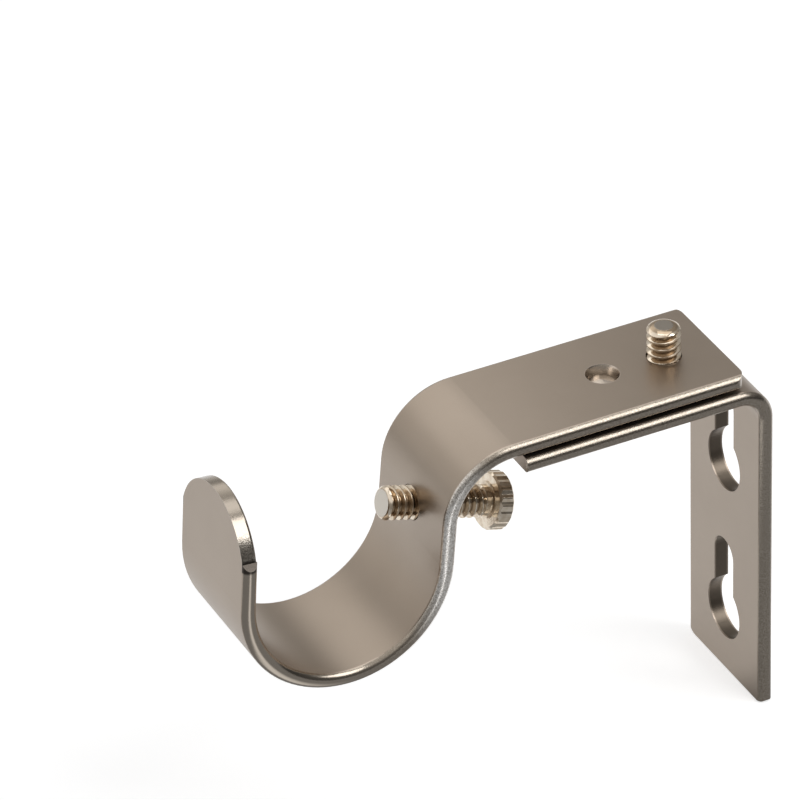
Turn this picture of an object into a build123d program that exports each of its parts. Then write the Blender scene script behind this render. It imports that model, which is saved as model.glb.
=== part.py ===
from build123d import *
import math
import os

# Adjustable curtain pole bracket. A wall strap, bent to an L, carries a hook strap that slides
# along its arm. A lock screw clamps the two straps, and a clamp screw bears on the pole.
# Millimetres. X runs along the pole, +Y points into the wall and +Z is up. The origin is on
# the wall strap's back face, halfway across it and midway between its two keyholes.

# Strip stock, the same for both straps: flat faces and rolled, rounded side edges
strip_thickness = 2.1
edge_round_depth = 0.8

# Wall strap: the plate
wall_strap_width = 20.0
keyhole_pitch = 24.16
keyhole_entry_radius = 4.3
keyhole_slot_width = 5.1
keyhole_slot_rise = 9.03
plate_foot_margin = 9.42
plate_corner_radius = 2.0
plate_crisp_corner_radius = 0.3

# Wall strap: the bend and the arm
bend_inner_radius = 2.95
wall_bend_angle = 90
keyhole_to_bend = 0.43
arm_end_margin = 3.3

# Hook strap: tail, arm and crown bend
hook_strap_width = 19.2
strap_gap = 0.44
tail_setback = 4.04
tail_corner_radius = 1.8
crown_reach = 37.95
crown_inner_radius = 8.24
crown_angle = 84.33
neck_length = 6.01

# Hook strap: the cup that holds the pole, and the tip
pole_diameter = 25.4
pole_clearance = 0.82
cup_angle = 178.53
tip_height = 13.5
tip_end_radius = 9.25
tip_shoulder_height = 7.0
tip_rollover = 0.4

# Guide dimple, pressed into the hook strap's arm so that its boss rides in the adjusting slot
dimple_reach = 20.2
dimple_radius = 2.2
dimple_depth = 1.25
dimple_floor_radius = 1.8
dimple_floor_crown = 0.3
dimple_rim_round = 0.2
boss_height = 1.1
boss_end_radius = 1.9
boss_side_clearance = 0.05

# Adjusting slot in the wall strap's arm
adjusting_slot_width = 5.1
projection_travel = 10.0
slot_end_clearance = 0.25

# Thumb screws, both with the same thread and the same fluted head
thread_radius = 2.3
thread_clearance = 0.08
head_radius = 3.95
head_thickness = 2.2
head_bevel = 0.34
flute_count = 22
flute_half_width = 0.4
flute_depth = 0.15
screw_neck_length = 1.0
screw_neck_relief = 0.2
screw_end_bevel = 0.58

# Lock screw, which stands upright through both straps with its head under the lower one
lock_screw_reach = 11.1
lock_screw_length = 9.33
lock_screw_end_radius = 1.15
head_seat_clearance = 0.02

# Clamp screw, which crosses the neck of the hook strap at a slant and bears on the pole
clamp_screw_length = 15.7
clamp_screw_end_radius = 1.75
clamp_screw_drop = 1.77
clamp_screw_skew = 11.2
clamp_screw_tip_reach = 5.5

# The corner cutters stop this far inside the strip's edge, so that no sliver is left on it
corner_inset = 0.02

# Places that follow from the sizes above
lower_entry_z = -keyhole_pitch / 2
upper_entry_z = keyhole_pitch / 2
plate_foot_z = lower_entry_z - plate_foot_margin
upper_slot_top_z = upper_entry_z + keyhole_slot_rise + keyhole_slot_width / 2
bend_centre_radius = bend_inner_radius + strip_thickness / 2
wall_arm_mid_z = upper_slot_top_z + keyhole_to_bend + bend_centre_radius
wall_arm_top_z = wall_arm_mid_z + strip_thickness / 2
wall_arm_under_z = wall_arm_mid_z - strip_thickness / 2
hook_arm_under_z = wall_arm_top_z + strap_gap
hook_arm_mid_z = hook_arm_under_z + strip_thickness / 2
hook_arm_top_z = hook_arm_under_z + strip_thickness
crown_centre_radius = crown_inner_radius + strip_thickness / 2
cup_centre_radius = (pole_diameter + pole_clearance + strip_thickness) / 2
slot_inner_reach = lock_screw_reach - slot_end_clearance
slot_outer_reach = dimple_reach + projection_travel + slot_end_clearance
arm_reach = slot_outer_reach + adjusting_slot_width / 2 + arm_end_margin
tip_round_centre = tip_height - tip_end_radius


def strip_section(width):
    """Section of the strip stock: two flat faces joined by rounded side edges."""
    flat_half = width / 2 - edge_round_depth
    thick_half = strip_thickness / 2
    upper_face = Line((-flat_half, thick_half), (flat_half, thick_half))
    right_edge = ThreePointArc((flat_half, thick_half), (width / 2, 0), (flat_half, -thick_half))
    lower_face = Line((flat_half, -thick_half), (-flat_half, -thick_half))
    left_edge = ThreePointArc((-flat_half, -thick_half), (-width / 2, 0), (-flat_half, thick_half))
    return make_face([upper_face, right_edge, lower_face, left_edge])


def bent_strip(centre_line, width):
    """Strip stock of the given width, bent along a centre line that lies in the YZ plane."""
    start = Plane(origin=centre_line @ 0, x_dir=(1, 0, 0), z_dir=centre_line % 0)
    return sweep(start * strip_section(width), path=centre_line)


def wall_strap_line():
    """Centre line of the wall strap: up the plate, round the bend and out along the arm."""
    plate_mid_y = -strip_thickness / 2
    bend_start_z = wall_arm_mid_z - bend_centre_radius
    plate = Line((plate_mid_y, plate_foot_z), (plate_mid_y, bend_start_z))
    bend = JernArc(plate @ 1, plate % 1, radius=bend_centre_radius, arc_size=wall_bend_angle)
    arm = Line(bend @ 1, (-arm_reach, wall_arm_mid_z))
    return Plane.YZ * Wire([plate.edge(), bend.edge(), arm.edge()])


def hook_strap_pieces():
    """The hook strap's centre line as its five stretches, from the tail to the tip."""
    arm = Line((-tail_setback, hook_arm_mid_z), (-crown_reach, hook_arm_mid_z))
    crown = JernArc(arm @ 1, arm % 1, radius=crown_centre_radius, arc_size=crown_angle)
    neck = PolarLine(crown @ 1, neck_length, direction=crown % 1)
    cup = JernArc(neck @ 1, neck % 1, radius=cup_centre_radius, arc_size=-cup_angle)
    tip = PolarLine(cup @ 1, tip_height, direction=cup % 1)
    return [arm, crown, neck, cup, tip]


def corner_cutter(radius):
    """Profile that rounds a square corner, drawn about the centre of the round."""
    reach = radius + strip_thickness
    return Rectangle(reach, reach, align=(Align.MIN, Align.MIN)) - Circle(radius)


def keyhole_cutter(entry_z):
    """Cutter for one keyhole: a round entry for a screw's head, and above it a slot for its shank."""
    slot_end = Pos(0, keyhole_slot_rise) * Circle(keyhole_slot_width / 2)
    slot = Rectangle(keyhole_slot_width, keyhole_slot_rise, align=(Align.CENTER, Align.MIN))
    profile = Circle(keyhole_entry_radius) + slot + slot_end
    return extrude(Plane.XZ * Pos(0, entry_z) * profile, amount=2 * strip_thickness, both=True)


def adjusting_slot_cutter():
    """Cutter for the long slot that lets the lock screw and the dimple's boss travel along the arm."""
    middle = -(slot_inner_reach + slot_outer_reach) / 2
    length = slot_outer_reach - slot_inner_reach + adjusting_slot_width
    profile = SlotOverall(length, adjusting_slot_width, rotation=90)
    return extrude(Plane((0, middle, wall_arm_mid_z)) * profile, amount=strip_thickness, both=True)


def plate_foot_cutters():
    """Cutters for the two corners at the plate's foot: one nipped round, the other left crisp."""
    cutters = []
    for side, radius in ((-1, plate_corner_radius), (1, plate_crisp_corner_radius)):
        inset = wall_strap_width / 2 - corner_inset - radius
        place = (side * inset, 0, plate_foot_z + radius)
        profile = Plane(place, x_dir=(side, 0, 0), z_dir=(0, side, 0)) * corner_cutter(radius)
        cutters.append(extrude(profile, amount=2 * strip_thickness, both=True))
    return cutters


def make_wall_strap():
    """L-shaped strap with two keyholes in its plate and the adjusting slot in its arm."""
    strap = bent_strip(wall_strap_line(), wall_strap_width)
    strap -= keyhole_cutter(lower_entry_z)
    strap -= keyhole_cutter(upper_entry_z)
    strap -= adjusting_slot_cutter()
    for cutter in plate_foot_cutters():
        strap -= cutter
    return strap


def tail_corner_cutters():
    """Cutters that round both corners of the hook strap's tail, at the wall end of its arm."""
    cutters = []
    for side in (-1, 1):
        inset = side * (hook_strap_width / 2 - corner_inset - tail_corner_radius)
        place = (inset, -tail_setback - tail_corner_radius, hook_arm_mid_z)
        profile = Plane(place, x_dir=(side, 0, 0), z_dir=(0, 0, side)) * corner_cutter(tail_corner_radius)
        cutters.append(extrude(profile, amount=strip_thickness, both=True))
    return cutters


def tip_plane(tip_line):
    """Plane through the tip's mid-thickness: its y runs up the tip and its z faces away from the pole."""
    heading = tip_line % 0
    return Plane(origin=tip_line @ 0, x_dir=(1, 0, 0), z_dir=(0, -heading.Z, heading.Y))


def tip_cutter(tip_line):
    """Cutter that shears the tip to a round end, which stops at a sloped shoulder on each side."""
    shoulder_rise = tip_shoulder_height - tip_round_centre
    shoulder_half = (tip_end_radius**2 - shoulder_rise**2) ** 0.5
    outer_half = hook_strap_width / 2 + strip_thickness
    outer_height = tip_shoulder_height - (outer_half - shoulder_half)
    waste = Pos(0, outer_height) * Rectangle(2 * outer_half, tip_height, align=(Align.CENTER, Align.MIN))
    shoulders = Polygon(
        (-outer_half, outer_height),
        (outer_half, outer_height),
        (shoulder_half, tip_shoulder_height),
        (-shoulder_half, tip_shoulder_height),
        align=None,
    )
    kept = Pos(0, tip_round_centre) * Circle(tip_end_radius) + shoulders
    return extrude(tip_plane(tip_line) * (waste - kept), amount=strip_thickness, both=True)


def tip_rollover_cutter(tip_line):
    """Cutter that rounds over the tip's round end, on the pole's side and from shoulder to shoulder."""
    shoulder_angle = math.degrees(math.asin((tip_shoulder_height - tip_round_centre) / tip_end_radius))
    place = (tip_end_radius - tip_rollover, 0, tip_rollover - strip_thickness / 2)
    profile = Plane(place, x_dir=(1, 0, 0), z_dir=(0, 1, 0)) * corner_cutter(tip_rollover)
    rim = revolve(Rot(0, 0, shoulder_angle) * profile, Axis.Z, revolution_arc=180 - 2 * shoulder_angle)
    return tip_plane(tip_line) * Pos(0, tip_round_centre) * rim


def dimple_boss():
    """Underside of the dimple: a blunt cone that dips into the adjusting slot and just clears its edges."""
    root_radius = adjusting_slot_width / 2 - boss_side_clearance
    half_section = Polygon(
        (0, strip_thickness / 2),
        (root_radius, strip_thickness / 2),
        (root_radius, -strap_gap),
        (boss_end_radius, -boss_height),
        (0, -boss_height),
        align=None,
    )
    return Pos(0, -dimple_reach, hook_arm_under_z) * revolve(Plane.XZ * half_section, axis=Axis.Z)


def dimple_cutter():
    """Cutter for the punch mark on top of the arm: steep sides, a crowned floor and a soft rim."""
    half_section = Polygon(
        (0, dimple_rim_round),
        (dimple_radius + dimple_rim_round, dimple_rim_round),
        (dimple_radius, -dimple_rim_round),
        (dimple_floor_radius, -dimple_depth),
        (0, dimple_floor_crown - dimple_depth),
        align=None,
    )
    return Pos(0, -dimple_reach, hook_arm_top_z) * revolve(Plane.XZ * half_section, axis=Axis.Z)


def clamp_screw_axis(neck):
    """Plane on the clamp screw's axis where it crosses the neck's mid-line, its z towards the pole."""
    heading = neck % 0
    crossing = neck @ 0 + heading * clamp_screw_drop
    across = Vector(0, heading.Z, -heading.Y)
    return Plane(origin=crossing, x_dir=(1, 0, 0), z_dir=across).rotated((-clamp_screw_skew, 0, 0))


def make_hook_strap(stretches):
    """J-shaped strap: arm, crown, neck, cup and sheared tip, with its dimple and two tapped holes."""
    strap = bent_strip(Wire([stretch.edge() for stretch in stretches]), hook_strap_width)
    for cutter in tail_corner_cutters():
        strap -= cutter
    strap -= tip_cutter(stretches[-1])
    strap -= tip_rollover_cutter(stretches[-1])
    strap += dimple_boss()
    strap -= dimple_cutter()
    tapped_hole = Cylinder(thread_radius + thread_clearance, 3 * strip_thickness)
    strap -= Pos(0, -lock_screw_reach, hook_arm_mid_z) * tapped_hole
    strap -= clamp_screw_axis(stretches[2]) * tapped_hole
    return strap


def fluted_head():
    """Thumb screw head below z = 0: a bevelled disc whose rim has shallow V-shaped flutes."""
    groove = Polygon(
        (-flute_depth, 0),
        (flute_depth, -2 * flute_half_width),
        (flute_depth, 2 * flute_half_width),
        align=None,
    )
    flute_places = PolarLocations(head_radius, flute_count)
    fluted_outline = Circle(head_radius) - [place * groove for place in flute_places]
    rim = extrude(fluted_outline, amount=-head_thickness)
    inner = head_radius - head_bevel
    disc_half_section = Polygon(
        (0, 0),
        (inner, 0),
        (head_radius, -head_bevel),
        (head_radius, head_bevel - head_thickness),
        (inner, -head_thickness),
        (0, -head_thickness),
        align=None,
    )
    return rim & revolve(Plane.XZ * disc_half_section, axis=Axis.Z)


def screw_shank(length, end_radius):
    """Shank above z = 0: a relieved neck under the head, the threaded length and a bevelled end."""
    neck_radius = thread_radius - screw_neck_relief
    half_section = Polygon(
        (0, -head_thickness / 2),
        (neck_radius, -head_thickness / 2),
        (neck_radius, screw_neck_length - screw_neck_relief),
        (thread_radius, screw_neck_length),
        (thread_radius, length - screw_end_bevel),
        (end_radius, length),
        (0, length),
        align=None,
    )
    return revolve(Plane.XZ * half_section, axis=Axis.Z)


def thumb_screw(length, end_radius):
    """Thumb screw along +Z, with the head's clamping face at z = 0 and the screw's end at z = length."""
    return fluted_head() + screw_shank(length, end_radius)


def make_lock_screw():
    """Lock screw, upright, its head drawn up under the wall strap's arm."""
    seat = Pos(0, -lock_screw_reach, wall_arm_under_z - head_seat_clearance)
    return seat * thumb_screw(lock_screw_length, lock_screw_end_radius)


def make_clamp_screw(neck):
    """Clamp screw on its slanted axis, its end standing in the cup."""
    head_face = Pos(0, 0, clamp_screw_tip_reach - clamp_screw_length)
    screw = thumb_screw(clamp_screw_length, clamp_screw_end_radius)
    return clamp_screw_axis(neck).location * head_face * screw


if __name__ == "__main__":
    os.makedirs("parts", exist_ok=True)
    hook_stretches = [Plane.YZ * stretch for stretch in hook_strap_pieces()]
    parts = {
        "wall_strap": make_wall_strap(),
        "hook_strap": make_hook_strap(hook_stretches),
        "lock_screw": make_lock_screw(),
        "clamp_screw": make_clamp_screw(hook_stretches[2]),
    }
    for name, shape in parts.items():
        export_step(shape, f"parts/{name}.step")
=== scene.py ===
"""Looks, studio and camera of an adjustable curtain pole bracket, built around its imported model.

The two straps are shown as the frame gives them, dressed in satin nickel. Each thumb screw is
modelled here with its thread and fluted head. Sizes are in millimetres unless a name says
otherwise, and MM turns them into the scene's metres.
"""

import logging
import math
from dataclasses import dataclass
from enum import Enum
from typing import Mapping

import bmesh
import bpy
from mathutils import Matrix, Vector


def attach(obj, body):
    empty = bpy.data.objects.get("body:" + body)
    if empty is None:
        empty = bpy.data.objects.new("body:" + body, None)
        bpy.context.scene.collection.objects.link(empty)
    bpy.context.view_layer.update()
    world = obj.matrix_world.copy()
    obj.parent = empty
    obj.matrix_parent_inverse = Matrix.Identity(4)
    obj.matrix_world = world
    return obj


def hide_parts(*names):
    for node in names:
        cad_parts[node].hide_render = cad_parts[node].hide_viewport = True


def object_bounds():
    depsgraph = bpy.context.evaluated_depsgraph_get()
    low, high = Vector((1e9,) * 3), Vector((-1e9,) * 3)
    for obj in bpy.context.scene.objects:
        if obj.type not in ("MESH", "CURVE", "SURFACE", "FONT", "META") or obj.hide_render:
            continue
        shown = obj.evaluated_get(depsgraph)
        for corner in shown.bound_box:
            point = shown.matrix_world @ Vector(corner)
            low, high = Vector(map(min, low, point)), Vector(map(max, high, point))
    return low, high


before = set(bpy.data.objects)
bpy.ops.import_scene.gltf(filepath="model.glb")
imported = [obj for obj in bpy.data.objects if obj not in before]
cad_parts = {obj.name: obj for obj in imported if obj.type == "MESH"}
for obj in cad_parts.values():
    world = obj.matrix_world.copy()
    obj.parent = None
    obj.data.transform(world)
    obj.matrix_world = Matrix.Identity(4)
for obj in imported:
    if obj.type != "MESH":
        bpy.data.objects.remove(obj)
cad_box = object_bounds()

LOG = logging.getLogger("pole_bracket")
MM = 0.001
FRAME_PIXELS = 800
SENSOR_WIDTH = 36.0
TURNED = "turned_place"
SHARP_ANGLE = math.radians(32)
WIDEST_RING_FACE = 12
MERGE_DISTANCE = 1e-4
CUT_DISTANCE = 1e-5
HEAD_OVERLAP = 1.0

Colour = tuple[float, float, float]
Number = float | int


class Body(Enum):
    """Moving bodies that the pieces made here ride on."""

    LOCK = "lock"
    CLAMP = "clamp"


class Slot(Enum):
    """Names for the two finishes."""

    STRIP = "satin_nickel_strip"
    SCREW = "bright_nickel_screw"


class Signal:
    """A shader socket that takes part in Python arithmetic."""

    def __init__(self, graph: "Graph", socket: bpy.types.NodeSocket) -> None:
        """Wraps a socket.

        Args:
            graph: the node graph that the socket belongs to.
            socket: the output socket.
        """
        self.graph = graph
        self.socket = socket

    def __add__(self, other: "Signal | Number") -> "Signal":
        """Sum."""
        return self.graph.math("ADD", self, other)

    def __radd__(self, other: Number) -> "Signal":
        """Sum, with the number first."""
        return self.graph.math("ADD", other, self)

    def __sub__(self, other: "Signal | Number") -> "Signal":
        """Difference."""
        return self.graph.math("SUBTRACT", self, other)

    def __rsub__(self, other: Number) -> "Signal":
        """Difference, with the number first."""
        return self.graph.math("SUBTRACT", other, self)

    def __mul__(self, other: "Signal | Number") -> "Signal":
        """Product."""
        return self.graph.math("MULTIPLY", self, other)

    def __rmul__(self, other: Number) -> "Signal":
        """Product, with the number first."""
        return self.graph.math("MULTIPLY", other, self)

    def __pow__(self, other: "Signal | Number") -> "Signal":
        """Power."""
        return self.graph.math("POWER", self, other)

    def __abs__(self) -> "Signal":
        """Size without its sign."""
        return self.graph.math("ABSOLUTE", self)

    def rise(self, low: float, high: float) -> "Signal":
        """Smooth step, from 0 at low to 1 at high.

        Args:
            low: value at which the step begins.
            high: value at which the step is complete.

        Returns:
            The step as a signal from 0 to 1.
        """
        settings = {"interpolation_type": "SMOOTHSTEP"}
        inputs = {"Value": self, "From Min": low, "From Max": high}
        return self.graph.node("ShaderNodeMapRange", settings, inputs, "Result")

    def band(self, low: float, high: float, soft: float) -> "Signal":
        """1 between two values and 0 outside them, with soft sides.

        Args:
            low: lower side of the band.
            high: upper side of the band.
            soft: width over which each side fades.

        Returns:
            The band as a signal from 0 to 1.
        """
        return self.rise(low - soft, low + soft) * (1 - self.rise(high - soft, high + soft))


class Graph:
    """Node graph of one material or world."""

    def __init__(self, owner: bpy.types.Material | bpy.types.World) -> None:
        """Starts an empty graph.

        Args:
            owner: what the graph belongs to.
        """
        owner.use_nodes = True
        self.tree = owner.node_tree
        self.tree.nodes.clear()

    def node(
        self,
        kind: str,
        settings: Mapping[str, object] | None = None,
        inputs: Mapping[str | int, object] | None = None,
        output: str | int = 0,
    ) -> Signal:
        """Adds one node.

        Args:
            kind: Blender's name of the node type.
            settings: the node's own options, set first.
            inputs: a value or a signal for each socket that is set.
            output: the socket to hand back.

        Returns:
            The named output as a signal.
        """
        made = self.tree.nodes.new(kind)
        for name, value in (settings or {}).items():
            setattr(made, name, value)
        for name, value in (inputs or {}).items():
            if isinstance(value, Signal):
                self.tree.links.new(value.socket, made.inputs[name])
            else:
                made.inputs[name].default_value = value
        return Signal(self, made.outputs[output]) if made.outputs else Signal(self, None)

    def math(
        self, operation: str, first: Signal | Number, second: Signal | Number = 0.0
    ) -> Signal:
        """Adds one Math node.

        Args:
            operation: the node's operation.
            first: first operand.
            second: second operand, where the operation has one.

        Returns:
            The result.
        """
        return self.node("ShaderNodeMath", {"operation": operation}, {0: first, 1: second})

    def mix(
        self, factor: Signal | float, first: Signal | Colour, second: Signal | Colour
    ) -> Signal:
        """Blends two colours.

        Args:
            factor: 0 gives the first colour and 1 the second.
            first: first colour.
            second: second colour.

        Returns:
            The blended colour.
        """
        inputs = {0: factor, 6: self._as_colour(first), 7: self._as_colour(second)}
        return self.node("ShaderNodeMix", {"data_type": "RGBA"}, inputs, 2)

    @staticmethod
    def _as_colour(value: Signal | Colour) -> Signal | tuple[float, ...]:
        """A colour with its alpha, or the signal as it is."""
        return value if isinstance(value, Signal) else (*value, 1.0)

    def position(self) -> Signal:
        """The object's own coordinates, in millimetres."""
        metres = self.node("ShaderNodeTexCoord", output="Object")
        return self.scaled(metres, (1 / MM,) * 3)

    def scaled(self, vector: Signal, factors: Colour) -> Signal:
        """Multiplies a vector by a number for each axis.

        Args:
            vector: the vector.
            factors: the three numbers.

        Returns:
            The stretched vector.
        """
        return self.node("ShaderNodeVectorMath", {"operation": "MULTIPLY"}, {0: vector, 1: factors})

    def axes(self, vector: Signal) -> tuple[Signal, Signal, Signal]:
        """Splits a vector.

        Args:
            vector: the vector.

        Returns:
            Its three parts.
        """
        split = self.node("ShaderNodeSeparateXYZ", None, {0: vector}).socket.node
        return tuple(Signal(self, out) for out in split.outputs)

    def noise(
        self, vector: Signal, per_mm: float, detail: float = 2.0, rough: float = 0.5
    ) -> Signal:
        """Cloudy noise.

        Args:
            vector: where it is read, in millimetres.
            per_mm: how many blobs fit in a millimetre.
            detail: octaves of finer noise.
            rough: how strong the finer octaves are.

        Returns:
            The noise, about 0.5 on average.
        """
        inputs = {"Vector": vector, "Scale": per_mm, "Detail": detail, "Roughness": rough}
        return self.node("ShaderNodeTexNoise", None, inputs, "Fac")

    def bump(self, height: Signal, distance: float) -> Signal:
        """Turns a height into a normal.

        Args:
            height: the height, in units of the distance.
            distance: what a height of 1 stands for, in millimetres.

        Returns:
            The normal.
        """
        inputs = {"Strength": 1.0, "Distance": distance * MM, "Height": height}
        return self.node("ShaderNodeBump", None, inputs)

    def larger(self, first: Signal, second: Signal) -> Signal:
        """The larger of two signals."""
        return self.math("MAXIMUM", first, second)

    def metal(self, colour: Signal, roughness: Signal, normal: Signal) -> None:
        """Ends a material's graph in a bare metal surface.

        Args:
            colour: colour of the metal.
            roughness: roughness of the surface.
            normal: normal of the surface.
        """
        inputs = {"Base Color": colour, "Metallic": 1.0, "Roughness": roughness, "Normal": normal}
        surface = self.node("ShaderNodeBsdfPrincipled", None, inputs)
        self.node("ShaderNodeOutputMaterial", None, {"Surface": surface})


def new_material(name: str) -> tuple[bpy.types.Material, Graph]:
    """Starts a material.

    Args:
        name: its name.

    Returns:
        The material and its empty graph.
    """
    material = bpy.data.materials.new(name)
    return material, Graph(material)


@dataclass(frozen=True)
class TipRound:
    """Where the hook strap's tip is sheared, in millimetres on the strap's YZ plane."""

    foot: tuple[float, float] = (-76.0, 18.71)
    heading: tuple[float, float] = (0.0732, 0.9973)
    centre_height: float = 4.25
    radius: float = 9.25
    radius_fade: tuple[float, float] = (-0.12, -0.04)
    inward_reach: tuple[float, float] = (3.0, 4.0)
    shoulder_height: float = 7.0
    shoulder_fade: tuple[float, float] = (-0.6, -0.5)
    torn_top: tuple[float, float] = (27.9, 29.6)
    # where shade is painted at the tip's step
    painted_shade_step_half_width: tuple[float, float] = (8.6, 8.8)
    painted_shade_step_out: tuple[float, float] = (-80.0, -72.0)
    painted_shade_step_up: tuple[float, float] = (24.6, 26.3)
    painted_shade_step_fade: float = 0.2


@dataclass(frozen=True)
class Dimple:
    """Where the guide dimple lies on the hook strap's arm, and the painted highlight and painted
    shade inside it.
    """

    reach: float = 20.2
    rim: tuple[float, float] = (2.26, 2.4)
    arm_height: tuple[float, float] = (30.0, 30.2)
    painted_shade_ring_band: tuple[float, float] = (1.6, 1.95)
    painted_shade_ring_fade: float = 0.25
    # painted highlight on the dimple's middle and painted shade in the ring inside its rim
    middle: Colour = (0.6, 0.53, 0.46)
    painted_shade_ring: Colour = (0.25, 0.21, 0.17)
    burnish: float = -0.07
    grain_loss: float = 0.7


@dataclass(frozen=True)
class Keyholes:
    """The box, in millimetres, that holds the keyholes' walls and none of the plate's faces, and
    the shade painted on those walls.
    """

    out: tuple[float, float] = (-1.9, -0.2)
    out_fade: float = 0.1
    half_width: tuple[float, float] = (5.4, 5.6)
    top: tuple[float, float] = (23.6, 23.8)
    # painted shade on the keyholes' walls
    wall: Colour = (0.15, 0.125, 0.1)


@dataclass
class StripLook:
    """The signals that a strip's surface is mixed from."""

    graph: Graph
    place: tuple[Signal, Signal, Signal]
    face: Signal
    edge: Signal
    speckle: Signal
    worn: Signal
    pitted: Signal
    grain: Signal
    burnish: Signal | float = 0.0


@dataclass(frozen=True)
class SatinNickel:
    """Satin nickel plate on blasted steel strip, with rolled edges that shine a little more."""

    name: str
    strip_width: float
    face: Colour = (0.385, 0.326, 0.272)
    face_shade: Colour = (0.36, 0.303, 0.25)
    edge: Colour = (0.41, 0.365, 0.312)
    edge_shade: Colour = (0.27, 0.235, 0.195)
    smooth_edge: Colour = (0.36, 0.318, 0.27)
    pitted_reach: tuple[float, float] = (-66.0, -52.0)
    face_roughness: float = 0.36
    edge_roughness: float = 0.17
    grain_in_roughness: float = 0.1
    edge_depth: float = 0.8
    edge_fade: tuple[float, float] = (0.02, 0.22)
    clouds_per_mm: float = 0.08
    grains_per_mm: float = 5.5
    pits_per_mm: float = 14.0
    speckles_per_mm: float = 5.6
    grain_height: float = 0.5
    pit_height: float = 0.5
    speckle_height: float = 0.8
    bump_height: float = 0.006

    def material(self) -> bpy.types.Material:
        """Builds the finish.

        Returns:
            The material.
        """
        material, graph = new_material(self.name)
        place = graph.position()
        across, out, up = graph.axes(place)
        cloud = graph.noise(place, self.clouds_per_mm, 3.0)
        grain = graph.noise(place, self.grains_per_mm, 3.0, 0.6)
        pits = graph.noise(place, self.pits_per_mm, 2.0, 0.6)
        speckle = graph.noise(place, self.speckles_per_mm, 3.0, 0.7).rise(0.38, 0.62)
        pitted = out.rise(*self.pitted_reach)
        shading = (cloud * 0.7 + grain * 0.3).rise(0.3, 0.7)
        speckled = graph.mix(speckle, self.edge_shade, self.edge)
        flat_half = self.strip_width / 2 - self.edge_depth
        look = StripLook(
            graph=graph,
            place=(across, out, up),
            face=graph.mix(shading, self.face_shade, self.face),
            edge=graph.mix(pitted, self.smooth_edge, speckled),
            speckle=speckle,
            worn=abs(across).rise(flat_half + self.edge_fade[0], flat_half + self.edge_fade[1]),
            pitted=pitted,
            grain=grain,
        )
        self.dress(look)
        roughness = (
            self.face_roughness
            + (look.grain - 0.5) * self.grain_in_roughness
            + look.worn * (self.edge_roughness - self.face_roughness)
            + look.burnish
        )
        height = (
            look.grain * self.grain_height
            + pits * self.pit_height
            + look.worn * look.pitted * speckle * self.speckle_height
        )
        colour = graph.mix(look.worn, look.face, look.edge)
        graph.metal(colour, roughness, graph.bump(height, self.bump_height))
        return material

    def dress(self, look: StripLook) -> None:
        """Adds what one strap alone has.

        Args:
            look: the surface so far, which is changed.
        """
        raise NotImplementedError


@dataclass(frozen=True)
class WallStrapNickel(SatinNickel):
    """The strip's finish on the wall strap, with shade painted on its keyholes' walls."""

    keyholes: Keyholes = Keyholes()

    def dress(self, look: StripLook) -> None:
        """Paints shade on the keyholes' walls.

        Args:
            look: the surface so far.
        """
        across, out, up = look.place
        holes = self.keyholes
        inside = (
            out.band(*holes.out, holes.out_fade)
            * (1 - abs(across).rise(*holes.half_width))
            * (1 - up.rise(*holes.top))
        )
        # painted shade: the keyholes' walls take a dark colour
        look.face = look.graph.mix(inside, look.face, holes.wall)


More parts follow.
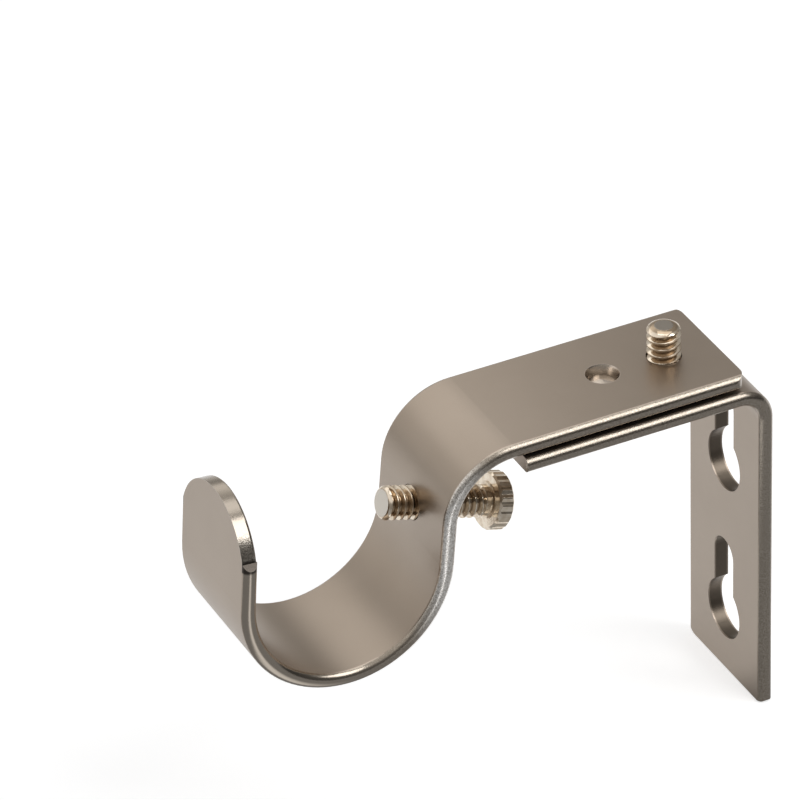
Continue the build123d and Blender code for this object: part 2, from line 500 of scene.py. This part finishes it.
@dataclass(frozen=True)
class HookStrapNickel(SatinNickel):
    """The strip's finish on the hook strap, with its dimple, neck and sheared tip."""

    tip: TipRound = TipRound()
    dimple: Dimple = Dimple()
    torn_edge: Colour = (0.6, 0.56, 0.5)
    torn_shade: Colour = (0.2, 0.175, 0.15)
    # near-white colour of the neck's polished edge, which also paints the highlight there
    polished_painted_highlight: Colour = (0.92, 0.9, 0.87)
    polished_painted_highlight_band: tuple[float, float] = (-51.0, -44.0)
    polished_painted_highlight_fade: float = 3.0
    polished_painted_highlight_speckle: tuple[float, float] = (-0.6, 0.9)
    # near-black colour at the tip's step, painted shade
    step: Colour = (0.06, 0.052, 0.045)

    def dress(self, look: StripLook) -> None:
        """Adds the tip with painted shade at its step, the neck's polished edge with a painted
        highlight, and the dimple with painted highlight and shade.

        Args:
            look: the surface so far.
        """
        self._dress_edge(look)
        self._dress_dimple(look)

    def _dress_edge(self, look: StripLook) -> None:
        """Marks the sheared tip, paints shade at the tip's step, and brightens the neck's polished
        edge into a painted highlight.

        Args:
            look: the surface so far.
        """
        graph, tip = look.graph, self.tip
        across, out, up = look.place
        sheared = self._sheared(look)
        torn = sheared * (1 - up.rise(*tip.torn_top))
        torn_colour = graph.mix(look.speckle, self.torn_shade, self.torn_edge)
        # polished band on the neck's edge, whose near-white colour paints a highlight
        polished = out.band(*self.polished_painted_highlight_band, self.polished_painted_highlight_fade)
        polished_painted_highlight_share = polished * look.speckle.rise(*self.polished_painted_highlight_speckle)
        # painted shade: the tip's step is made near black
        step = (
            abs(across).rise(*tip.painted_shade_step_half_width)
            * out.band(*tip.painted_shade_step_out, tip.painted_shade_step_fade)
            * up.band(*tip.painted_shade_step_up, tip.painted_shade_step_fade)
        )
        edge = graph.mix(torn, look.edge, torn_colour)
        edge = graph.mix(polished_painted_highlight_share, edge, self.polished_painted_highlight)
        look.edge = graph.mix(step, edge, self.step)
        look.worn = graph.larger(look.worn, graph.larger(sheared, step))
        look.pitted = graph.larger(look.pitted, torn)

    def _dress_dimple(self, look: StripLook) -> None:
        """Paints a highlight on the dimple's middle and shade in the ring inside its rim, and takes
        the grain out of it.

        Args:
            look: the surface so far.
        """
        graph, dimple = look.graph, self.dimple
        across, out, up = look.place
        from_centre = out + dimple.reach
        distance = (across * across + from_centre * from_centre) ** 0.5
        on_top = up.rise(*dimple.arm_height)
        # painted highlight on the punched middle and painted shade on the ring inside the rim
        punched = (1 - distance.rise(*dimple.rim)) * on_top
        painted_shade_ring = distance.band(*dimple.painted_shade_ring_band, dimple.painted_shade_ring_fade) * on_top
        look.face = graph.mix(painted_shade_ring, graph.mix(punched, look.face, dimple.middle), dimple.painted_shade_ring)
        look.burnish = punched * dimple.burnish
        look.grain = look.grain * (1 - punched * dimple.grain_loss)

    def _sheared(self, look: StripLook) -> Signal:
        """1 on the tip's sheared round end and 0 elsewhere.

        Args:
            look: the surface so far.

        Returns:
            The mask.
        """
        tip = self.tip
        across, out, up = look.place
        rise = (out - tip.foot[0]) * tip.heading[0] + (up - tip.foot[1]) * tip.heading[1]
        above = rise - tip.centre_height
        distance = (across * across + above * above) ** 0.5
        on_round = distance.rise(*(tip.radius + fade for fade in tip.radius_fade))
        on_tip = 1 - out.rise(*(tip.foot[0] + reach for reach in tip.inward_reach))
        above_step = rise.rise(*(tip.shoulder_height + fade for fade in tip.shoulder_fade))
        return on_round * on_tip * above_step


@dataclass(frozen=True)
class BrightNickel:
    """Bright nickel plate on turned steel, with fine tool marks, shade painted into the thread's
    roots, and a sawn, duller end.
    """

    name: str
    end_height: float
    body: Colour = (0.82, 0.73, 0.61)
    shade: Colour = (0.66, 0.56, 0.44)
    # painted shade in the thread's roots
    root: Colour = (0.36, 0.27, 0.18)
    root_radii: tuple[float, float] = (1.75, 1.95)
    root_start: tuple[float, float] = (0.2, 0.5)
    root_painted_shade_share: float = 0.8
    sawn: Colour = (0.34, 0.32, 0.28)
    sawn_start: tuple[float, float] = (-0.02, -0.01)
    roughness: float = 0.09
    cloud_in_roughness: float = 0.08
    sawn_roughness: float = 0.34
    clouds_per_mm: float = 0.9
    marks_per_mm: float = 7.0
    marks_along_axis: float = 0.7
    mark_height: float = 0.008

    def material(self) -> bpy.types.Material:
        """Builds the finish.

        Returns:
            The material.
        """
        material, graph = new_material(self.name)
        turned = graph.node("ShaderNodeAttribute", {"attribute_name": TURNED}, None, "Vector")
        along_x, along_y, height = graph.axes(turned)
        radius = (along_x * along_x + along_y * along_y) ** 0.5
        cloud = graph.noise(turned, self.clouds_per_mm, 2.0)
        along_marks = radius + height * self.marks_along_axis
        rings = {"W": along_marks, "Scale": self.marks_per_mm, "Detail": 3.0}
        marks = graph.node("ShaderNodeTexNoise", {"noise_dimensions": "1D"}, rings, "Fac")
        end = height.rise(*(self.end_height + start for start in self.sawn_start))
        # painted shade: darker brown towards the thread's roots
        root_painted_shade_mask = (1 - radius.rise(*self.root_radii)) * height.rise(*self.root_start)
        plate = graph.mix(cloud.rise(0.35, 0.65), self.shade, self.body)
        plate_with_painted_root_shade = graph.mix(root_painted_shade_mask * self.root_painted_shade_share, plate, self.root)
        roughness = (
            self.roughness
            + (cloud - 0.5) * self.cloud_in_roughness
            + end * (self.sawn_roughness - self.roughness)
        )
        colour = graph.mix(end, plate_with_painted_root_shade, self.sawn)
        graph.metal(colour, roughness, graph.bump(marks, self.mark_height))
        return material


def to_piece(
    name: str, shape: bmesh.types.BMesh, place: Matrix, material: bpy.types.Material
) -> bpy.types.Object:
    """Turns a shape in its own millimetre frame into a finished piece at the origin.

    Args:
        name: the piece's name.
        shape: the shape, which is used up.
        place: where the shape's own frame stands, in metres.
        material: its finish.

    Returns:
        The piece.
    """
    bmesh.ops.recalc_face_normals(shape, faces=shape.faces)
    for face in shape.faces:
        face.smooth = True
    for edge in shape.edges:
        beside_cap = any(len(face.verts) > WIDEST_RING_FACE for face in edge.link_faces)
        turns_softly = len(edge.link_faces) != 2 or edge.calc_face_angle() < SHARP_ANGLE
        edge.smooth = turns_softly and not beside_cap
    own = shape.verts.layers.float_vector.new(TURNED)
    for vert in shape.verts:
        vert[own] = vert.co
    bmesh.ops.transform(shape, matrix=place @ Matrix.Scale(MM, 4), verts=shape.verts)
    mesh = bpy.data.meshes.new(name)
    shape.to_mesh(mesh)
    shape.free()
    mesh.materials.append(material)
    piece = bpy.data.objects.new(name, mesh)
    bpy.context.scene.collection.objects.link(piece)
    return piece


@dataclass(frozen=True)
class Thread:
    """Turned thread with a relieved neck below it and a bevelled end above it."""

    crest_radius: float = 2.3
    depth: float = 0.62
    pitch: float = 1.06
    flank: tuple[float, float] = (0.15, 0.44)
    neck_radius: float = 2.1
    neck_length: float = 1.0
    runout: float = 0.35
    plain_bevel: float = 0.8
    bevel_swell: float = 0.6
    steps_per_turn: int = 56
    profile_points: int = 14

    def height_at(self, share: float) -> float:
        """Height of the thread's profile above its root.

        Args:
            share: place along one pitch, from 0 to 1.

        Returns:
            The height, from 0 at the root to 1 at the crest.
        """
        flank_start, flank_end = self.flank
        folded = min(share, 1 - share)
        rise = min(max((folded - flank_start) / (flank_end - flank_start), 0.0), 1.0)
        return 0.5 * rise + 0.5 * rise * rise * (3 - 2 * rise)

    def build(self, length: float, end_radius: float, end_bevel: float) -> bmesh.types.BMesh:
        """Spins the thread round +Z and trims it.

        Args:
            length: height of the screw's end.
            end_radius: radius of the flat end.
            end_bevel: length of the bevel at the end.

        Returns:
            The shank, from inside the head, below z = 0, to z = length.
        """
        shape = bmesh.new()
        turns = math.ceil(length / self.pitch) + 3
        base = -2 * self.pitch
        rail = []
        for index in range(self.profile_points + 1):
            share = index / self.profile_points
            radius = self.crest_radius - self.depth * (1 - self.height_at(share))
            rail.append(shape.verts.new((radius, 0, base + share * self.pitch)))
        edges = [shape.edges.new(pair) for pair in zip(rail, rail[1:])]
        steps = turns * self.steps_per_turn
        bmesh.ops.spin(
            shape,
            geom=[*rail, *edges],
            cent=(0, 0, 0),
            axis=(0, 0, 1),
            dvec=(0, 0, self.pitch / self.steps_per_turn),
            angle=math.tau * turns,
            steps=steps,
            use_merge=False,
            use_duplicate=False,
        )
        bmesh.ops.remove_doubles(shape, verts=shape.verts, dist=MERGE_DISTANCE)
        self._trim(shape, -HEAD_OVERLAP, (0, 0, -1))
        for level in (self.neck_length, self.neck_length + self.runout, length - end_bevel):
            self._cut(shape, level)
        self._trim(shape, length, (0, 0, 1))
        for vert in shape.verts:
            self._shape_ends(vert, length, end_radius, end_bevel)
        return shape

    @staticmethod
    def _cut(shape: bmesh.types.BMesh, level: float) -> None:
        """Adds a ring of edges at one height.

        Args:
            shape: the shank.
            level: the height.
        """
        everything = [*shape.verts, *shape.edges, *shape.faces]
        place = {"plane_co": (0, 0, level), "plane_no": (0, 0, 1)}
        bmesh.ops.bisect_plane(shape, geom=everything, dist=CUT_DISTANCE, **place)

    @staticmethod
    def _trim(shape: bmesh.types.BMesh, level: float, outward: Colour) -> None:
        """Cuts the shank off flat and closes it.

        Args:
            shape: the shank.
            level: height of the cut.
            outward: direction of the part that falls away.
        """
        everything = [*shape.verts, *shape.edges, *shape.faces]
        cut = bmesh.ops.bisect_plane(
            shape,
            geom=everything,
            dist=CUT_DISTANCE,
            plane_co=(0, 0, level),
            plane_no=outward,
            clear_outer=True,
        )
        rim = [item for item in cut["geom_cut"] if isinstance(item, bmesh.types.BMEdge)]
        bmesh.ops.edgeloop_fill(shape, edges=rim)

    def _shape_ends(
        self, vert: bmesh.types.BMVert, length: float, end_radius: float, end_bevel: float
    ) -> None:
        """Draws a point in to the neck or to the rounded bevel.

        Args:
            vert: the point.
            length: height of the screw's end.
            end_radius: radius of the flat end.
            end_bevel: length of the bevel.
        """
        radius = math.hypot(vert.co.x, vert.co.y)
        wanted = radius
        into_thread = (vert.co.z - self.neck_length) / self.runout
        if into_thread < 1:
            share = max(into_thread, 0.0)
            wanted = self.neck_radius * (1 - share) + radius * share
        below_end = min((length - vert.co.z) / end_bevel, 1.0)
        rounded = math.sqrt(below_end * (2 - below_end))
        swell = (1 - self.bevel_swell) * below_end + self.bevel_swell * rounded
        on_bevel = end_radius + (self.crest_radius - end_radius) * swell
        is_plain = vert.co.z > length - self.plain_bevel * end_bevel
        wanted = on_bevel if is_plain else min(wanted, on_bevel)
        if radius > 0:
            vert.co.x *= wanted / radius
            vert.co.y *= wanted / radius


@dataclass(frozen=True)
class FlutedHead:
    """Thumb screw head: a turned disc whose rim is fluted for the fingers."""

    radius: float = 3.95
    thickness: float = 2.2
    bevel: float = 0.34
    flutes: int = 22
    flute_depth: float = 0.15
    steps_per_flute: int = 10
    collar_radius: float = 2.55
    collar_height: float = 0.12
    collar_bevel: tuple[float, float] = (0.1, 0.06)
    collar_ring: float = 0.45
    flute_power: float = 0.8
    tolerance: float = 0.01

    def half_section(self) -> list[tuple[float, float]]:
        """The head's half section, from the axis at its clamping face round to the axis again.

        Returns:
            Pairs of radius and height.
        """
        inner = self.radius - self.bevel
        return [
            (0.0, self.collar_height),
            (self.collar_radius - self.collar_bevel[0], self.collar_height),
            (self.collar_radius, self.collar_height - self.collar_bevel[1]),
            (self.collar_radius, 0.0),
            (self.collar_radius + self.collar_ring, 0.0),
            (inner, 0.0),
            (self.radius, -self.bevel),
            (self.radius, -self.thickness / 2),
            (self.radius, self.bevel - self.thickness),
            (inner, -self.thickness),
            (inner * 0.5, -self.thickness),
            (0.0, -self.thickness),
        ]

    def flute_at(self, angle: float) -> float:
        """How deep the rim is cut at an angle.

        Args:
            angle: angle round the head.

        Returns:
            The depth.
        """
        phase = (angle * self.flutes / math.tau) % 1.0
        return self.flute_depth * (0.5 - 0.5 * math.cos(math.tau * phase)) ** self.flute_power

    def build(self) -> bmesh.types.BMesh:
        """Spins the head and flutes its rim.

        Returns:
            The head, with its clamping face at z = 0.
        """
        shape = bmesh.new()
        points = [shape.verts.new((radius, 0, height)) for radius, height in self.half_section()]
        edges = [shape.edges.new(pair) for pair in zip(points, points[1:])]
        bmesh.ops.spin(
            shape,
            geom=[*points, *edges],
            cent=(0, 0, 0),
            axis=(0, 0, 1),
            angle=math.tau,
            steps=self.flutes * self.steps_per_flute,
            use_merge=True,
        )
        bmesh.ops.remove_doubles(shape, verts=shape.verts, dist=MERGE_DISTANCE)
        middle = -self.thickness / 2
        for vert in shape.verts:
            radius = math.hypot(vert.co.x, vert.co.y)
            if radius > self.radius - self.tolerance:
                cut = self.flute_at(math.atan2(vert.co.y, vert.co.x))
                vert.co.x *= (radius - cut) / radius
                vert.co.y *= (radius - cut) / radius
                if abs(vert.co.z - middle) > self.tolerance:
                    vert.co.z += math.copysign(cut, vert.co.z - middle)
        return shape


@dataclass(frozen=True)
class ThumbScrew:
    """A thumb screw: where its head's clamping face stands, its axis, length and end."""

    name: str
    body: Body
    node: str
    seat: Colour
    axis: Colour
    length: float
    end_radius: float
    end_bevel: float
    end_colour: Colour
    thread: Thread = Thread()
    head: FlutedHead = FlutedHead()

    def place(self) -> Matrix:
        """The screw's own frame: its head's clamping face at the origin and its axis along +Z."""
        turn = Vector((0, 0, 1)).rotation_difference(Vector(self.axis)).to_matrix().to_4x4()
        return Matrix.Translation(Vector(self.seat) * MM) @ turn

    def build(self, finish: BrightNickel) -> list[bpy.types.Object]:
        """Makes the screw and hangs it on its body.

        Args:
            finish: the screw's finish.

        Returns:
            The screw's two pieces.
        """
        material = finish.material()
        shank = self.thread.build(self.length, self.end_radius, self.end_bevel)
        head = self.head.build()
        pieces = [
            to_piece(f"{self.name}_shank", shank, self.place(), material),
            to_piece(f"{self.name}_head", head, self.place(), material),
        ]
        for piece in pieces:
            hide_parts(self.node)
            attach(piece, self.body.value)
            LOG.info("%s: %d faces", piece.name, len(piece.data.polygons))
        return pieces


@dataclass(frozen=True)
class DressedStrap:
    """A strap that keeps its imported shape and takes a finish."""

    node: str
    finish: SatinNickel

    def build(self) -> bpy.types.Object:
        """Puts the finish on the strap.

        Returns:
            The strap.
        """
        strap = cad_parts[self.node]
        strap.data.materials.clear()
        strap.data.materials.append(self.finish.material())
        LOG.info("%s: %d faces", strap.name, len(strap.data.polygons))
        return strap


@dataclass(frozen=True)
class PhotoCamera:
    """Camera at the photograph's viewing angle."""

    focal_pixels: float = 6376.9
    azimuth: float = 64.373
    elevation: float = 33.708
    roll: float = -1.833
    origin_pixel_x: float = 737.573
    origin_pixel_y: float = 530.735
    distance: float = 853.736

    def build(self) -> bpy.types.Object:
        """Makes the camera and gives it to the scene.

        Returns:
            The camera.
        """
        angles = (self.azimuth, self.elevation, self.roll)
        turn, lift, roll = (math.radians(angle) for angle in angles)
        flat = math.cos(lift)
        back = Vector((math.sin(turn) * flat, -math.cos(turn) * flat, math.sin(lift)))
        level = Vector((math.cos(turn), math.sin(turn), 0))
        upright = back.cross(level)
        right = math.cos(roll) * level + math.sin(roll) * upright
        up = math.cos(roll) * upright - math.sin(roll) * level
        middle = FRAME_PIXELS / 2
        scale = self.distance / self.focal_pixels
        eye = (
            (middle - self.origin_pixel_x) * scale * right
            + (self.origin_pixel_y - middle) * scale * up
            + self.distance * back
        )
        data = bpy.data.cameras.new("photo_camera")
        data.sensor_width = SENSOR_WIDTH
        data.lens = self.focal_pixels * SENSOR_WIDTH / FRAME_PIXELS
        data.clip_start, data.clip_end = 0.01, 20.0
        camera = bpy.data.objects.new("photo_camera", data)
        axes = Matrix((right, up, back)).transposed().to_4x4()
        camera.matrix_world = Matrix.Translation(eye * MM) @ axes
        bpy.context.scene.collection.objects.link(camera)
        bpy.context.scene.camera = camera
        return camera


@dataclass(frozen=True)
class Lamp:
    """A rectangular soft lamp that looks at the bracket. Metres, and a radiance of 1 is white."""

    name: str
    place: Colour
    aim: Colour
    width: float
    height: float
    radiance: float

    def build(self) -> bpy.types.Object:
        """Makes the lamp.

        Returns:
            The lamp.
        """
        data = bpy.data.lights.new(self.name, "AREA")
        data.shape = "RECTANGLE"
        data.size, data.size_y = self.width, self.height
        data.energy = self.radiance * math.pi * self.width * self.height
        lamp = bpy.data.objects.new(self.name, data)
        away = Vector(self.place) - Vector(self.aim)
        turn = away.to_track_quat("Z", "Y").to_matrix().to_4x4()
        lamp.matrix_world = Matrix.Translation(self.place) @ turn
        bpy.context.scene.collection.objects.link(lamp)
        return lamp


@dataclass(frozen=True)
class Card:
    """A soft-edged card, flat on the axis whose half size is 0. Millimetres."""

    name: str
    centre: Colour
    half: Colour
    soft: float
    radiance: float


@dataclass(frozen=True)
class Studio:
    """White floor and lamps, with a grey dome and cards that only reflections see. Metres.

    To reflections the floor is darker on the +X side, towards the camera, and under the cup,
    and a little brighter in one patch.
    """

    floor_drop: float = 0.0002
    floor_radius: float = 4.0
    camera_glow: float = 0.68
    mirror_glow: float = 0.57
    dim_east: tuple[float, float] = (0.0, 0.01)
    cup_shade_east: tuple[float, float] = (-0.014, -0.006)
    cup_shade_north: tuple[float, float] = (-0.045, -0.035)
    patch_east: tuple[float, float] = (0.01, 0.018)
    patch_north: tuple[float, float] = (-0.085, -0.06)
    patch_fade: float = 0.01
    patch_glow: float = 0.35
    dim_share: float = 0.68
    paper: float = 0.85
    dim_paper: float = 0.36
    dome_radius: float = 0.9
    dome_gap: float = 0.002
    room_light: float = 0.2

    def build(self) -> None:
        """Makes the floor, the dome, the cards, the world and the lamps."""
        floor_level = cad_box[0].z - self.floor_drop
        self._floor(floor_level)
        self._dome(floor_level)
        cards = [
            Card("bright_card", (-66.0, -49.0, 80.0), (30.0, 50.0, 0.0), 22.0, 1.32),
            Card("grey_flag", (-42.0, -74.3, 28.4), (28.0, 0.0, 3.8), 3.6, 0.52),
        ]
        for card in cards:
            self._card(card)
        self._world()
        lamps = [
            Lamp("soft_box", (-0.06, 0.02, 0.52), (0.0, -0.04, 0.02), 0.36, 0.36, 1.1),
            Lamp("side_box", (0.285, 0.2, 0.435), (0.0, -0.04, 0.02), 0.34, 0.29, 3.2),
        ]
        for lamp in lamps:
            lamp.build()
        bpy.context.scene.view_settings.view_transform = "Standard"

    @staticmethod
    def _rays(graph: Graph, *names: str) -> Signal:
        """1 for rays of the named kinds and 0 for the others."""
        paths = graph.node("ShaderNodeLightPath").socket.node.outputs
        seen = Signal(graph, paths[names[0]])
        for name in names[1:]:
            seen = graph.larger(seen, Signal(graph, paths[name]))
        return seen

    def _stage_piece(
        self, name: str, shape: bmesh.types.BMesh, material: bpy.types.Material
    ) -> bpy.types.Object:
        """Adds a piece of the studio that isn't part of the bracket.

        Args:
            name: its name.
            shape: its shape, in metres.
            material: its material.

        Returns:
            The piece.
        """
        mesh = bpy.data.meshes.new(name)
        shape.to_mesh(mesh)
        shape.free()
        mesh.materials.append(material)
        piece = bpy.data.objects.new(name, mesh)
        bpy.context.scene.collection.objects.link(piece)
        return piece

    def _floor(self, level: float) -> None:
        """White floor that glows to the camera and still takes the bracket's shadow.

        Args:
            level: height of the floor.
        """
        material, graph = new_material("white_floor")
        east, north, _ = graph.axes(graph.node("ShaderNodeTexCoord", output="Object"))
        mirrored = self._rays(graph, "Is Glossy Ray", "Is Transmission Ray")
        in_patch = east.rise(*self.patch_east) * north.band(*self.patch_north, self.patch_fade)
        patch = in_patch * mirrored
        under_cup = east.rise(*self.cup_shade_east) * (1 - north.rise(*self.cup_shade_north))
        dim = graph.larger(east.rise(*self.dim_east), under_cup) * mirrored - patch
        lit = self._rays(graph, "Is Camera Ray") * self.camera_glow + mirrored * self.mirror_glow
        strength = lit * (1 - dim * self.dim_share) + patch * self.patch_glow
        glow = graph.node("ShaderNodeEmission", None, {"Strength": strength})
        tone = graph.mix(dim, (self.paper,) * 3, (self.dim_paper,) * 3)
        paper = graph.node("ShaderNodeBsdfDiffuse", None, {"Color": tone})
        both = graph.node("ShaderNodeAddShader", None, {0: glow, 1: paper})
        graph.node("ShaderNodeOutputMaterial", None, {"Surface": both})
        shape = bmesh.new()
        bmesh.ops.create_circle(shape, cap_ends=True, segments=96, radius=self.floor_radius)
        bmesh.ops.translate(shape, vec=(0, 0, level), verts=shape.verts)
        self._stage_piece("floor", shape, material)

    @staticmethod
    def _only_mirrored(piece: bpy.types.Object) -> None:
        """Leaves a piece of the studio to reflections alone."""
        piece.visible_camera = False
        piece.visible_diffuse = False
        piece.visible_shadow = False

    def _dome(self, level: float) -> None:
        """Grey dome, lighter upwards, with its own tones low down and on the +X side.

        Args:
            level: height of the floor.
        """
        material, graph = new_material("studio_dome")
        place = graph.node("ShaderNodeTexCoord", output="Object")
        x, y, z = graph.axes(graph.scaled(place, (1 / self.dome_radius,) * 3))
        level_glow = 1 - z.rise(0.02, 0.3)
        near_wall = (y * 0.66 - x * 0.75).rise(0.75, 0.98) * level_glow * 0.5
        front = (0 - y * 0.66 - x * 0.75).rise(0.6, 0.98) * level_glow * 0.16
        dark_side = x.rise(0.0, 0.35) * (1 - z.rise(0.42, 0.62))
        tone = (0.5 + z * 0.22 - y * 0.36 + near_wall + front) * (1 - dark_side * 0.62)
        inputs = {"Color": (1.0, 0.97, 0.93, 1.0), "Strength": tone}
        glow = graph.node("ShaderNodeEmission", None, inputs)
        graph.node("ShaderNodeOutputMaterial", None, {"Surface": glow})
        shape = bmesh.new()
        bmesh.ops.create_uvsphere(shape, u_segments=96, v_segments=48, radius=self.dome_radius)
        everything = [*shape.verts, *shape.edges, *shape.faces]
        bmesh.ops.bisect_plane(
            shape,
            geom=everything,
            plane_co=(0, 0, level + self.dome_gap),
            plane_no=(0, 0, -1),
            clear_outer=True,
        )
        self._only_mirrored(self._stage_piece("studio_dome", shape, material))

    def _card(self, card: Card) -> None:
        """Sets up a soft-edged card that only reflections see.

        Args:
            card: the card.
        """
        material, graph = new_material(card.name)
        parts = graph.axes(graph.position())
        inside = 1.0
        for axis, (centre, half) in enumerate(zip(card.centre, card.half)):
            if half > 0:
                inside = parts[axis].band(centre - half, centre + half, card.soft) * inside
        inputs = {"Color": (1.0, 0.98, 0.95, 1.0), "Strength": card.radiance}
        glow = graph.node("ShaderNodeEmission", None, inputs)
        clear = graph.node("ShaderNodeBsdfTransparent")
        both = graph.node("ShaderNodeMixShader", None, {0: inside, 1: clear, 2: glow})
        graph.node("ShaderNodeOutputMaterial", None, {"Surface": both})
        shape = bmesh.new()
        bmesh.ops.create_grid(shape, x_segments=1, y_segments=1, size=1.0)
        if card.half[2] > 0:
            upright = Matrix.Rotation(math.pi / 2, 3, "X")
            bmesh.ops.rotate(shape, verts=shape.verts, matrix=upright)
        reach = [(half + card.soft) * MM if half > 0 else 1.0 for half in card.half]
        bmesh.ops.scale(shape, vec=reach, verts=shape.verts)
        bmesh.ops.translate(shape, vec=[part * MM for part in card.centre], verts=shape.verts)
        self._only_mirrored(self._stage_piece(card.name, shape, material))

    def _world(self) -> None:
        """Pale surroundings, white to the camera and soft on the floor."""
        world = bpy.data.worlds.new("pale_surroundings")
        graph = Graph(world)
        seen = self._rays(graph, "Is Camera Ray", "Is Glossy Ray", "Is Transmission Ray")
        strength = self.room_light + seen * (1 - self.room_light)
        inputs = {"Color": (1.0, 1.0, 1.0, 1.0), "Strength": strength}
        sky = graph.node("ShaderNodeBackground", None, inputs)
        graph.node("ShaderNodeOutputWorld", None, {"Surface": sky})
        bpy.context.scene.world = world


def main() -> None:
    """Builds the camera, the straps' looks, the thumb screws and the studio."""
    logging.basicConfig(level=logging.INFO, format="%(name)s: %(message)s")
    PhotoCamera().build()
    straps = [
        DressedStrap("wall_strap", WallStrapNickel("satin_nickel_wall_strap", strip_width=20.0)),
        DressedStrap("hook_strap", HookStrapNickel("satin_nickel_hook_strap", strip_width=19.2)),
    ]
    for strap in straps:
        strap.build()
    screws = [
        ThumbScrew(
            name="lock_thumb_screw",
            body=Body.LOCK,
            node="lock_screw",
            seat=(0.0, -11.1, 27.02),
            axis=(0.0, 0.0, 1.0),
            length=9.33,
            end_radius=1.15,
            end_bevel=0.58,
            end_colour=(0.34, 0.31, 0.27),
        ),
        ThumbScrew(
            name="clamp_thumb_screw",
            body=Body.CLAMP,
            node="clamp_screw",
            seat=(0.0, -37.608, 17.536),
            axis=(0.0, -0.956966, 0.290201),
            length=15.7,
            end_radius=1.75,
            end_bevel=0.58,
            # painted light: the clamp screw's sawn end takes a much lighter colour than the lock
            # screw's
            end_colour=(0.6, 0.56, 0.5),
        ),
    ]
    for screw in screws:
        name = f"bright_nickel_{screw.name}"
        screw.build(BrightNickel(name, end_height=screw.length, sawn=screw.end_colour))
    Studio().build()


if __name__ == "__main__":
    main()
